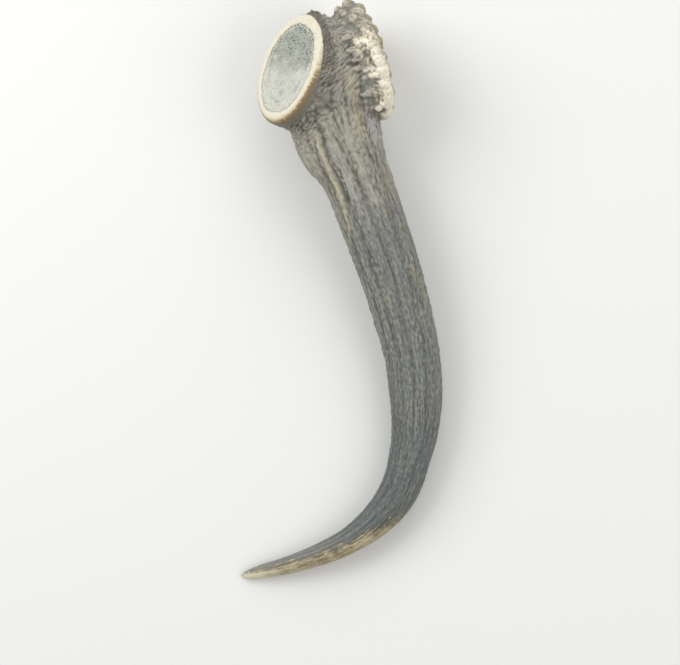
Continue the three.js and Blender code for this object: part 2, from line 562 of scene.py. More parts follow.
def smooth_where(piece: bpy.types.Object, weights: Array, rounds: int) -> None:
    """Smooth a mesh as far as each point's weight lets it.

    Args:
        piece: the mesh's object.
        weights: each point's weight, from 0 to 1.
        rounds: how many times over it is smoothed.
    """
    group = piece.vertex_groups.new(name="smooth")
    steps = np.round(weights, 2)
    for step in np.unique(steps[steps > 0]):
        group.add(np.flatnonzero(steps == step).tolist(), float(step), "REPLACE")
    apply(piece, "SMOOTH", factor=0.5, iterations=rounds, vertex_group=group.name)
    piece.vertex_groups.clear()


def thin_out(piece: bpy.types.Object, most: int) -> None:
    """Take out faces where the skin is plain.

    Args:
        piece: the mesh's object.
        most: the most triangles that it may have.
    """
    triangles = sum(len(face.vertices) - 2 for face in piece.data.polygons)
    log.info("skin before thinning: %d triangles", triangles)
    if triangles > most:
        apply(piece, "DECIMATE", ratio=most / triangles)


@dataclass
class Skin:
    """A mesh's points, outward directions and edges, for work on all of them at once."""

    mesh: bpy.types.Mesh
    own_share: float = 0.35
    points: Array = field(init=False)
    normals: Array = field(init=False)
    edges: Array = field(init=False)

    def __post_init__(self) -> None:
        """Read the mesh."""
        self.points = points_of(self.mesh)
        flat = np.empty(len(self.mesh.vertices) * 3)
        self.mesh.vertex_normals.foreach_get("vector", flat)
        self.normals = flat.reshape(-1, 3)
        pairs = np.empty(len(self.mesh.edges) * 2, dtype=np.int64)
        self.mesh.edges.foreach_get("vertices", pairs)
        self.edges = pairs.reshape(-1, 2)

    def spread(self, values: Array, rounds: int) -> Array:
        """Average values with those of the neighbouring points.

        Args:
            values: one row for each point.
            rounds: how many times over.

        Returns:
            The averages.
        """
        a, b = self.edges.T
        count = len(self.points)
        near = np.bincount(a, minlength=count) + np.bincount(b, minlength=count)
        columns = values.reshape(count, -1).T.copy()
        for _ in range(rounds):
            for column in columns:
                sums = np.bincount(a, column[b], count) + np.bincount(b, column[a], count)
                column[:] = mix(sums / np.maximum(near, 1), column, self.own_share)
        return columns.T.reshape(values.shape)

    def crest(self, rounds: int, scale: float) -> Array:
        """Tell crests from hollows: from -1 in a hollow to 1 on a crest well above a height."""
        height = np.einsum("ij,ij->i", self.points - self.spread(self.points, rounds), self.normals)
        return np.tanh(height / scale)

    def store(self, name: str, values: Array) -> None:
        """Keep values on the mesh for its material.

        Args:
            name: what they are stored as.
            values: a number or a vector for each point.
        """
        kind, key = ("FLOAT", "value") if values.ndim == 1 else ("FLOAT_VECTOR", "vector")
        kept = self.mesh.attributes.new(name, kind, "POINT")
        kept.data.foreach_set(key, values.astype(np.float32).ravel())


# ---------- the limbs ----------


@dataclass
class BrowTine:
    """The long first tine, from inside the beam to its tip.

    Each section is a place of the middle line and the two half widths there. The fades say how high each
    kind of furrow stands along the tine, and how low it gets towards the tip.
    """

    sides: int = 48
    rings: int = 96
    samples: int = 700
    sections: tuple[tuple[Triple, float, float], ...] = (
        ((-7.5, 100, 34), 22, 20),
        ((-0.5, 77.5, 31), 21.9, 19),
        ((7.6, 60.4, 28.5), 17, 17),
        ((15.1, 40.2, 26), 16.4, 16.2),
        ((25, 12.5, 22), 15.9, 15.4),
        ((31.8, -10, 18.5), 15, 14.5),
        ((36.3, -28, 15.7), 14, 13.5),
        ((38.7, -50, 13), 13.4, 12.6),
        ((38.2, -69.5, 11.8), 11.8, 11.6),
        ((35.3, -84.3, 11.3), 10.5, 10.8),
        ((30, -100.1, 10.6), 9.8, 9.7),
        ((19.6, -114, 9.8), 8.5, 8.6),
        ((5.4, -125.2, 8.7), 6.7, 7.4),
        ((-8.5, -132, 7.4), 5.7, 6.3),
        ((-26.5, -138.4, 5.3), 4.5, 5),
        ((-39.5, -141.7, 3.6), 3.7, 3.6),
        ((-47.5, -143.8, 2.2), 2.3, 2.2),
        ((-51.2, -145, 1.2), 0.6, 0.7),
    )
    wide_fade: Fade = Fade(0.1, 0.75, 0.8, 0.25)
    wide_end: Fade = Fade(0.8, 0.97, 1.0, 0.0)
    ridge_fade: Fade = Fade(0.35, 0.85, 1.0, 0.4)
    ridge_end: Fade = Fade(0.8, 0.97, 1.0, 0.3)
    fine_fade: Fade = Fade(0.4, 0.85, 1.0, 0.6)
    fine_end: Fade = Fade(0.8, 0.97, 1.0, 0.25)
    grit_fade: Fade = Fade(0.6, 0.95, 1.0, 0.35)
    granule_fade: Fade = Fade(0.4, 0.8, 1.0, 0.15)
    run: Run = field(init=False)

    def __post_init__(self) -> None:
        """Lay out the run."""
        shares = np.linspace(0, 1, self.samples)
        centre = curve_through(np.array([at for at, _, _ in self.sections], float), shares)
        half = curve_through(np.array([(a, d, 0) for _, a, d in self.sections], float), shares)[:, :2]
        tangent = unit(np.gradient(centre, axis=0))
        across = unit(np.cross(UP, tangent))
        self.run = Run(centre, across, np.cross(across, tangent), tangent, half, lengths_along(centre))

    def blank(self) -> bpy.types.Object:
        """Extrude and bend the smooth tine.

        Returns:
            The tine's blank.
        """
        run = self.run
        pick = np.unique(np.linspace(0, len(run.along) - 1, self.rings).astype(int))
        rings = np.column_stack([run.along[pick], run.half[pick]])
        return bend_blank(straight_blank("tine_blank", rings, self.sides), run)

    def relief(self, place: Reading, grain: Array) -> Array:
        """Raise the furrows over the smooth tine.

        Args:
            place: where the points lie on the tine.
            grain: their places in the grain.

        Returns:
            Their heights.
        """
        at = place.share
        wide = self.wide_fade.at(at) * self.wide_end.at(at) * FURROWS.wide(place)
        ridges = self.ridge_fade.at(at) * self.ridge_end.at(at) * FURROWS.ridges(grain)
        fine = self.fine_fade.at(at) * self.fine_end.at(at) * FURROWS.fine(grain)
        grit = self.grit_fade.at(at) * FURROWS.grit(grain)
        return wide + ridges + fine + grit + self.granule_fade.at(at) * FURROWS.granules(grain)


@dataclass
class MainBeam:
    """The stub of the main beam, from the seal under the burr to the sawn face.

    Each section is a distance along the beam and the two half widths there. The beam leaves the burr and
    meets the cut squarely, and lead says how far it keeps straight at both ends. The furrows start past the
    burr and stop short of the cut.
    """

    burr_centre: Triple = (12.2, 116.8, 30.7)
    burr_axis: Triple = (-0.92, -0.33, 0.2)
    burr_across: Triple = (-0.34, 0.94, 0.06)
    sawn_centre: Triple = (-26, 111.5, 49)
    sawn_normal: Triple = (-0.67, 0.23, 0.706)
    sawn_across: Triple = (0.32, 0.95, 0)
    lead: float = 17
    sawn_edge: float = 3
    sides: int = 64
    rings: int = 60
    sections: tuple[Triple, ...] = (
        (-6.5, 13, 12),
        (-5, 22, 21),
        (-2.5, 27.5, 26.5),
        (0.5, 29.6, 28.2),
        (4, 28.6, 27),
        (8.5, 25.8, 23.8),
        (16, 27.4, 22.5),
        (27, 29.4, 21.5),
        (38, 28.6, 21),
    )
    furrow_start: Fade = Fade(3, 10)
    furrow_stop: tuple[float, float] = (7, 2.5)
    saw_depth: float = 0.05
    saw_width: float = 0.9
    saw_length: float = 14
    pore_depth: float = 0.5
    pore_gap: float = 1.6
    pore_reach: float = 0.32
    closed_pores: float = 0.35
    core_sink: float = 0.3
    core_grain: float = 0.16
    core_grain_size: float = 1.1
    run: Run = field(init=False)
    profile: Array = field(init=False)

    def __post_init__(self) -> None:
        """Lay out the run."""
        start, end = np.array(self.burr_centre, float), np.array(self.sawn_centre, float)
        leave, arrive = unit(np.array(self.burr_axis)), unit(np.array(self.sawn_normal))
        hull = start, start + leave * self.lead, end - arrive * self.lead, end
        t = np.linspace(0, 1, 800)[:, None]
        bezier = sum(math.comb(3, k) * (1 - t) ** (3 - k) * t**k * hull[k] for k in range(4))
        lengths = lengths_along(bezier)
        length = lengths[-1]
        self.profile = self._profile(length)
        along = np.linspace(self.profile[0, 0], length, 500)
        inside = np.clip(along, 0, length)
        tangent = unit(read_rows(inside, lengths, unit(np.gradient(bezier, axis=0))))
        centre = read_rows(inside, lengths, bezier) + tangent * (along - inside)[:, None]
        across = mix(np.array(self.burr_across), np.array(self.sawn_across), (inside / length)[:, None])
        across = unit(across - tangent * np.einsum("ij,ij->i", across, tangent)[:, None])
        half = read_rows(along, self.profile[:, 0], self.profile[:, 1:3])
        self.run = Run(centre, across, np.cross(across, tangent), tangent, half, along)

    def _profile(self, length: float) -> Array:
        """Shape the sides of the beam, down to the worn edge of the cut.

        Args:
            length: the beam's length.

        Returns:
            Rows of a distance along the beam and the two half widths there.
        """
        rows = list(self.sections)
        for turn in np.radians((0, 30, 60, 90)):
            inset = self.sawn_edge * (1 - math.cos(turn))
            along = length - self.sawn_edge * (1 - math.sin(turn))
            rows.append((along, self.sections[-1][1] - inset, self.sections[-1][2] - inset))
        return curve_through(np.array(rows, float), np.linspace(0, 1, 900))

    def blank(self) -> bpy.types.Object:
        """Extrude and bend the smooth beam."""
        pick = np.linspace(0, len(self.profile) - 1, self.rings).astype(int)
        return bend_blank(straight_blank("beam_blank", self.profile[pick], self.sides), self.run)

    def frame_at(self, along: float, angle: float) -> tuple[Array, Array]:
        """Find the directions at a place round the beam.

        Args:
            along: the distance along the beam.
            angle: the angle round it, in radians.

        Returns:
            The middle of the beam there, and the directions outwards, round the beam and along it.
        """
        run, here = self.run, np.array([along])
        tangent, across, deep = (unit(run.at(rows, here))[0] for rows in (run.tangent, run.across, run.deep))
        outward = across * math.cos(angle) + deep * math.sin(angle)
        return run.centre_at(here)[0], np.stack([outward, np.cross(tangent, outward), tangent])

    def relief(self, place: Reading, grain: Array) -> Array:
        """Raise the furrows over the smooth beam."""
        fine = FURROWS.fine(grain) + FURROWS.grit(grain)
        return 0.6 * FURROWS.wide(place) + 0.9 * FURROWS.ridges(grain) + FURROWS.granules(grain) + fine

    def furrowed(self, place: Reading) -> Array:
        """Mark where the furrows show: between the burr and the worn edge of the cut."""
        stop = (place.length - short for short in self.furrow_stop)
        return self.furrow_start.at(place.along) * (1 - smoothstep(*stop, place.along))

    def cut_relief(self, points: Array, core: Array) -> Array:
        """Cut faint saw marks in the rim, and the open pores of the sunken core.

        Args:
            points: the points of the sawn face.
            core: how far each belongs to the core, from 0 to 1.

        Returns:
            Their heights.
        """
        across = points @ unit(np.array(self.sawn_across)) / self.saw_width
        streaks = np.column_stack([across, points[:, 2] / self.saw_length, points[:, 1] / self.saw_length])
        far, own = cells(points / self.pore_gap, Seed.PORE)
        pores = self.pore_depth * dome(far, self.pore_reach) * (own > self.closed_pores)
        grain = self.core_grain * noise(points / self.core_grain_size, Seed.CORE_GRAIN)
        return self.saw_depth * noise(streaks, Seed.SAW) - core * (self.core_sink + pores - grain)

    def on_top(self, x: float, y: float) -> Array:
        """Find the upper side of the smooth beam over a place on the ground.

        Args:
            x: the place's x.
            y: the place's y.

        Returns:
            The point on the beam.
        """
        heights = np.linspace(75, 0, 301)
        column = np.column_stack([np.full_like(heights, x), np.full_like(heights, y), heights])
        return column[int(np.argmax(self.run.read(column).out < 0))]


@dataclass(frozen=True)
class PearlRow:
    """A row of bony pearls round the beam.

    Attributes:
        count: how many there are.
        ring: the radius of the ring through their middles.
        along: the ring's distance along the beam.
        half: half sizes outwards, round the beam and along it.
        purpose: picks the row's own scatter.
        spread: how far they stray along the beam.
    """

    count: int
    ring: float
    along: float
    half: Triple
    purpose: int
    spread: float


@dataclass
class Burr:
    """The ring of pearls at the foot of the beam, and the seal that closes it.

    Attributes:
        beam: the beam that it grows round.
        rows: the rows of pearls.
        singles: the x, y and size of pearls that stand alone on the upper side.
        edge: the distance along, angle and size of beads on the side of the beam away from the tine.
        pits: the x, y, radius and depth of pits on the upper side.
    """

    beam: MainBeam
    rows: tuple[PearlRow, ...] = (
        PearlRow(24, 27.7, -0.4, (3.1, 6.2, 3.4), 1, 0.6),
        PearlRow(17, 25.0, 6.2, (2.5, 3.2, 3.6), 5, 1.8),
        PearlRow(27, 26.7, 2.8, (2.4, 2.9, 2.7), 11, 2.0),
        PearlRow(25, 24.5, 8.8, (1.3, 1.6, 2.9), 15, 2.6),
        PearlRow(22, 26.7, -2.9, (2.3, 4.4, 2.0), 21, 0.6),
    )
    singles: tuple[Triple, ...] = (
        (4.0, 143.2, 3.4), (9.5, 140.8, 3.4), (-1.0, 141.5, 2.4), (15.8, 107.2, 2.1), (16.9, 99.9, 2.3),
        (19.6, 93.0, 2.2), (18.2, 123.5, 3.2), (16.0, 129.5, 2.8), (13.2, 135.5, 2.6), (20.8, 116.0, 2.4),
    )
    edge: tuple[Triple, ...] = (
        (15.5, 4, 1.5), (19.5, -3, 1.3), (23.0, 5, 1.6), (26.5, -2, 1.3), (30.0, 3, 1.4), (33.0, -1, 1.1),
    )
    pits: tuple[tuple[float, float, float, float], ...] = (
        (10.0, 120.3, 1.5, 1.2), (11.8, 118.4, 1.1, 1.0), (13.4, 116.4, 0.9, 0.8), (15.0, 113.8, 0.9, 0.9),
        (13.7, 125.3, 1.1, 0.7), (15.3, 129.2, 0.9, 0.7), (9.8, 112.0, 0.8, 0.6), (17.4, 103.6, 1.1, 0.9),
        (19.0, 96.8, 1.1, 0.9), (13.4, 103.0, 0.9, 0.6), (13.6, 93.5, 1.1, 0.6),
    )
    single_shape: Triple = (1, 1.1, 0.95)
    single_sink: float = 0.35
    bead_shape: Triple = (1, 1, 1.3)
    stray: float = 0.9
    margin: Fade = Fade(6, 12, 1.0, 0.0)
    margin_wander: float = 1.6
    seal_margin: Fade = Fade(-4.2, -2.6, 1.0, 0.0)
    far_side: Fade = Fade(127, 139)
    near_side: Fade = Fade(87, 99, 1.0, 0.0)
    shoulder_start: Fade = Fade(107, 115)
    shoulder_rise: Fade = Fade(38, 50)
    shoulder_reach: float = 6.5
    rim: Fade = Fade(0.5, 5.5, 1.0, 0.0)

    def _nugget(self) -> bpy.types.Object:
        """Model one rounded lump.

        Returns:
            The lump, one unit in radius and a little longer.
        """
        deselect_all()
        bpy.ops.mesh.primitive_ico_sphere_add(subdivisions=3, radius=1.0)
        edit_all()
        bpy.ops.transform.resize(value=(1.0, 1.0, 1.06), center_override=(0, 0, 0))
        stop_edit()
        return bpy.context.object

    def pearls(self) -> list[bpy.types.Object]:
        """Copy the lump to each of its places.

        Returns:
            The pearls.
        """
        lump = self._nugget()
        places = [self._in_row(row, index) for row in self.rows for index in range(row.count)]
        places += [self._single(*single) for single in self.singles]
        places += [self._on_edge(*bead) for bead in self.edge]
        placed = []
        for place in places:
            copy = lump.copy()
            copy.data = lump.data.copy()
            copy.data.transform(place)
            bpy.context.collection.objects.link(copy)
            placed.append(copy)
        bpy.data.objects.remove(lump)
        return placed

    def _in_row(self, row: PearlRow, index: int) -> Matrix:
        """Work out the place, turn and size of one pearl of a row.

        Args:
            row: the row.
            index: which pearl of the row it is.

        Returns:
            The pearl's transform.
        """
        angle = (index + 0.6 * (scatter(index, row.purpose) - 0.5)) / row.count * 2 * math.pi
        size = 0.72 + 0.44 * scatter(index, row.purpose + 1)
        along = row.along + row.spread * (2 * scatter(index, row.purpose + 2) - 1)
        centre, axes = self.beam.frame_at(along, angle)
        place = centre + axes[0] * (row.ring + self.stray * (2 * scatter(index, row.purpose + 3) - 1))
        return self._matrix(place, axes * np.array(row.half)[:, None] * size)

    def _single(self, x: float, y: float, size: float) -> Matrix:
        """Work out the transform of one pearl that stands on the upper side, from its place and size."""
        place = self.beam.on_top(x, y) - UP * self.single_sink * size
        return self._matrix(place, size * np.diag(self.single_shape))

    def _on_edge(self, along: float, degrees: float, size: float) -> Matrix:
        """Work out the place of one bead on the side of the beam.

        Args:
            along: its distance along the beam.
            degrees: its angle round the beam.
            size: its radius.

        Returns:
            The bead's transform.
        """
        centre, axes = self.beam.frame_at(along, math.radians(degrees))
        reach = np.interp(along, self.beam.profile[:, 0], self.beam.profile[:, 1])
        return self._matrix(centre + axes[0] * reach, axes * size * np.array(self.bead_shape)[:, None])

    @staticmethod
    def _matrix(place: Array, axes: Array) -> Matrix:
        """Build a transform from a place and three axes, one in each row."""
        turn = Matrix([tuple(axis * MM) for axis in axes]).transposed().to_4x4()
        return Matrix.Translation(Vector(place * MM)) @ turn

    def weight(self, place: Reading) -> Array:
        """Say how far a point belongs to the burr, from 0 to 1."""
        wander = self.margin_wander * noise(place.unbent(22) / (4.5, 4.5, 30), Seed.BURR_EDGE)
        return self.margin.at(place.along + wander)

    def far_end(self, points: Array) -> Array:
        """Mark the end of the burr that is furthest from the tine."""
        return self.far_side.at(points[:, 1] + 0.6 * points[:, 2] - 30)

    def relief(self, points: Array, normals: Array) -> Array:
        """Raise lumps and grit, and sink a few pits between the pearls.

        Args:
            points: the points of the burr.
            normals: their outward directions.

        Returns:
            Their heights.
        """
        uneven = noise(points / 1.7, Seed.UNEVEN)
        lumps = 0.6 * noise(points / 4.2, Seed.LUMP) + 0.36 * uneven
        lumps += 0.22 * noise(points / 0.95, Seed.BURR_GRIT)
        for x, y, radius, depth in self.pits:
            far = np.hypot(points[:, 0] - x, points[:, 1] - y) / radius
            lumps -= depth * np.exp(-(far**2) * np.clip(1 + 1.2 * uneven, 0.4, 2)) * (normals[:, 2] > 0)
        return lumps + 0.7 * self.far_end(points) * noise(points / 2.4, Seed.KNOB)

    def seal(self, place: Reading) -> Array:
        """Mark the rough face that closes the foot of the burr."""
        wander = 0.5 * noise(place.unbent(22) / (3, 3, 9), Seed.SEAL_EDGE)
        return self.seal_margin.at(place.along + wander)

    def seal_relief(self, points: Array) -> Array:
        """Raise the coarse granules of the seal."""
        far, own = cells(points / 2.1, Seed.SEAL_GRAIN)
        return 0.75 * (own - 0.3) * dome(far, 0.6) + 0.5 * noise(points / 7.0, Seed.SEAL_SWELL)

    def bleach(self, place: Reading, points: Array) -> Array:
        """Say how far the pearls are worn to pale bone: most on the rim, and less where painted shade is laid
        at the far end of the burr and, faintly, on its side towards the tine.

        Args:
            place: where the points lie on the beam.
            points: the points.

        Returns:
            A number from 0 to 1 for each.
        """
        # painted shade: the far end of the burr, and faintly its side towards the tine, are kept dark and
        # less bleached
        shaded = np.maximum(self.far_end(points), 0.1 * self.near_side.at(points[:, 1]))
        shoulder = self.shoulder_start.at(points[:, 1]) * self.shoulder_rise.at(points[:, 2])
        rim = self.rim.at(place.along - self.shoulder_reach * shoulder)
        worn = 0.34 + 0.6 * rim * (1 - 0.7 * shaded) * (1 - 0.5 * shoulder) - 0.4 * shaded
        return np.clip(worn + 0.5 * noise(points / 8.0, Seed.BLEACH), 0, 1)


@dataclass(frozen=True)
class Mark:
    """One ridge or groove at the root of the tine, on its upper side.

    Attributes:
        path: the places on the ground that it runs over.
        half: its half width.
        height: how far it stands up, or less than zero for a groove.
        tan: how tan its crest is, from 0 to 1.
        pale: how pale a grey it is, from 0 to 1.
        rise: how far from its start it takes to show in full.
        fall: how far from its end it starts to fade.
        facing: how far up its skin looks where it starts to show, and where it shows in full.
    """

    path: tuple[tuple[float, float], ...]
    half: float
    height: float
    tan: float = 0.0
    pale: float = 0.0
    rise: float = 9.0
    fall: float = 16.0
    facing: Fade = Fade(0.05, 0.4)

    def strength(self, points: Array, normals: Array) -> Array:
        """Say how strongly the mark shows.

        Args:
            points: the points of the skin.
            normals: their outward directions.

        Returns:
            A number for each, from 0 beside the mark to 1 on its middle line.
        """
        path = np.array(self.path, float)
        lengths = lengths_along(path)
        nearest, at = np.full(len(points), 99.0), np.zeros(len(points))
        for index, (start, end) in enumerate(zip(path, path[1:])):
            step = end - start
            share = np.clip(((points[:, :2] - start) @ step) / (step @ step), 0, 1)
            distance = np.linalg.norm(points[:, :2] - start - share[:, None] * step, axis=1)
            closer = distance < nearest
            nearest = np.where(closer, distance, nearest)
            at = np.where(closer, mix(lengths[index], lengths[index + 1], share), at)
        length = lengths[-1]
        ends = smoothstep(0, min(self.rise, 0.3 * length), at)
        ends = ends * (1 - smoothstep(length - min(self.fall, 0.4 * length), length, at))
        width = self.half * np.clip(1 + 0.55 * noise(points / 4.0, Seed.MARK_WIDTH), 0.45, 1.8)
        worn = np.clip(0.8 + 0.7 * noise(points / 5.5, Seed.MARK_WEAR), 0.2, 1.15)
        return np.exp(-((nearest / width) ** 2)) * ends * worn * self.facing.at(normals[:, 2])


@dataclass(frozen=True)
class RootMarks:
    """The long ridges and grooves that fan out from the fork on the upper side of the tine."""

    marks: tuple[Mark, ...] = (
        Mark(((-11.6, 84), (-10.4, 73.1), (-7.1, 65.2), (-4.2, 58.2), (-0.7, 51.3), (1.9, 43.4), (4.4, 33.5),
              (5.9, 20)), 0.8, 0.95, 0.85, rise=20.0),
        Mark(((-9.4, 84), (-7.9, 73.1), (-5.2, 66.2), (-2.1, 60.2), (0.9, 53.8), (3.8, 44.9), (6, 33)),
             1.5, -1.6),
        Mark(((-12.9, 79), (-11.8, 70.1), (-9, 62.2), (-6, 54.3), (-2.6, 44.9), (0, 37)), 0.9, -0.8),
        Mark(((-7, 76), (-3.8, 66.7), (0, 59.2), (3.7, 53.3), (6.8, 48), (9.6, 40)), 2.3, 0.35, pale=0.8),
        Mark(((-6, 83), (-3.5, 78.5), (0.1, 73.6), (2.5, 68.6), (5.4, 62.2), (8.4, 57.3), (12.2, 50.3),
              (16, 40)), 1.2, -1.2),
        Mark(((-0.5, 82), (4.9, 73.6), (7.9, 67.1), (10.9, 60.2), (14.6, 53.3), (18.3, 46.4), (22.5, 34)),
             1.8, 0.6, 0.16, 0.3),
        Mark(((10.9, 78), (14.4, 69.6), (17.8, 63.2), (21, 56.3), (23.5, 47)), 1.3, -0.9),
        Mark(((12.2, 114), (13.5, 101), (15.5, 88), (18.4, 76), (21.5, 66)), 2.4, 0.35, pale=0.9),
        Mark(((9, 114), (10.2, 103), (11.9, 92), (14.2, 80)), 0.9, -0.7),
        Mark(((5, 114), (6, 104), (7.5, 94), (10, 82), (12.5, 72)), 2.3, 0.5, 0.5),
        Mark(((1, 108), (2.2, 98), (4, 88), (6, 78)), 1.0, -0.7),
        Mark(((2.5, 121.5), (7, 120.6), (12.5, 121)), 0.9, -1.0),
        Mark(((1.5, 113), (6, 112.4), (11, 113.2)), 0.8, -0.8),
        Mark(((4.5, 101.6), (9, 101), (13, 101.8)), 0.8, -0.7),
    )

    def total(self, what: str, points: Array, normals: Array) -> Array:
        """Add up what all the marks do.

        Args:
            what: height, tan or pale.
            points: the points of the skin.
            normals: their outward directions.

        Returns:
            The sum for each point.
        """
        strong = [mark for mark in self.marks if getattr(mark, what)]
        return sum(getattr(mark, what) * mark.strength(points, normals) for mark in strong)


# ---------- the finish ----------


@dataclass(frozen=True)
class Layer:
    """A screen colour that is laid over others where a value rises from low to high, or falls.

    Attributes:
        colour: the colour, 0 to 255.
        low: the value where it starts to show.
        high: the value where it shows most.
        most: how far it then hides what is under it.
    """

    colour: Triple
    low: float = 0.0
    high: float = 1.0
    most: float = 1.0


@dataclass(frozen=True)
class AntlerFinish:
    """Weathered antler: grey-brown furrows, cream pearls, an ivory tip and a pale sawn face.

    Each zone is a ground colour and the layers over it. The first three zones are the root, the middle and
    the bend of the tine, from their grooves to their crests.
    """

    name: str = "antler"
    low: tuple[float, float] = (-0.8, 0.15)
    high: tuple[float, float] = (0.0, 0.95)
    root: tuple[Triple, Triple, Triple] = ((102, 99, 90), (144, 141, 130), (172, 168, 154))
    tine: tuple[Triple, Triple, Triple] = ((88, 91, 87), (112, 114, 109), (144, 145, 138))
    bend: tuple[Triple, Triple, Triple] = ((68, 73, 72), (91, 97, 95), (126, 128, 123))
    ochre: Layer = Layer((150, 142, 118), 0.15, 0.95, 0.46)
    tan: Layer = Layer((190, 178, 138), -0.5, 0.35)
    pale: Layer = Layer((169, 172, 168), -0.5, 0.3)
    # darker towards the cut, and painted shade under the rim of the sawn face and at the far end of the burr
    soil: tuple[Layer, ...] = (Layer((72, 69, 60), 0.2, 0.9, 0.62), Layer((72, 69, 60), 1.1, 1.8, 0.6))
    valley: Triple = (119, 121, 116)
    pearls: tuple[Layer, ...] = (
        Layer((144, 138, 122), -0.35, 0.75),
        Layer((201, 193, 172), 0.55, 1.45),
        Layer((238, 230, 210), 1.2, 2.1),
    )
    pearl_grit: Layer = Layer((119, 121, 116), 0.56, 0.72, 0.2)
    crevice: Layer = Layer((119, 121, 116), -0.5, -1.05, 0.46)
    seal_ground: Triple = (112, 101, 80)
    seal: tuple[Layer, ...] = (Layer((160, 149, 124), -0.9, 0.1), Layer((201, 193, 172), 0.3, 1.2))
    seal_crevice: Layer = Layer((119, 121, 116), -0.35, -1.0, 0.6)
    tip_margin: Layer = Layer((98, 88, 69), 0.22, 0.52, 0.7)
    tip_ground: Triple = (98, 88, 69)
    tip: tuple[Layer, ...] = (
        Layer((138, 125, 95), -0.75, -0.05),
        Layer((182, 171, 141), -0.25, 0.4),
        Layer((214, 205, 181), 0.35, 1.0),
    )
    core_ground: Triple = (197, 197, 186)
    core: Layer = Layer((157, 160, 149), -0.3, 0.5)
    core_ring: Layer = Layer((197, 197, 186), 0.45, 0.75, 0.6)
    core_grit: Layer = Layer((70, 73, 66), 0.5, 0.72, 0.4)
    pore: Triple = (70, 73, 66)
    rim: Triple = (217, 211, 192)
    rim_stain: Layer = Layer((186, 168, 130), 0.25, 1.1)
    rim_streak: Layer = Layer((186, 168, 130), 0.5, 0.75, 0.3)
    rim_edge: Layer = Layer((122, 106, 78), 0.75, 1.35)


class Noise(Enum):
    """The noises of the material: what they follow, their size across and along, detail and roughness."""

    HAIR = ("grain", 0.8, 3.4, 4.0, 0.62)
    BAND = ("grain", 2.3, 18.0, 3.0, 0.55)
    PATCH = ("grain", 9.0, 30.0, 2.0, 0.5)
    GRIT = ("place", 0.9, 0.9, 3.0, 0.65)
    CLOUDS = ("place", 6.5, 6.5, 3.0, 0.55)
    RADIAL = ("round", 1.0, 1.0, 3.0, 0.6)


def paint(colour: Triple) -> tuple[float, float, float, float]:
    """Turn a screen colour, 0 to 255, into the linear one that shaders take."""
    linear = [((c / 255 + 0.055) / 1.055) ** 2.4 if c > 10 else c / 255 / 12.92 for c in colour]
    return (*linear, 1.0)


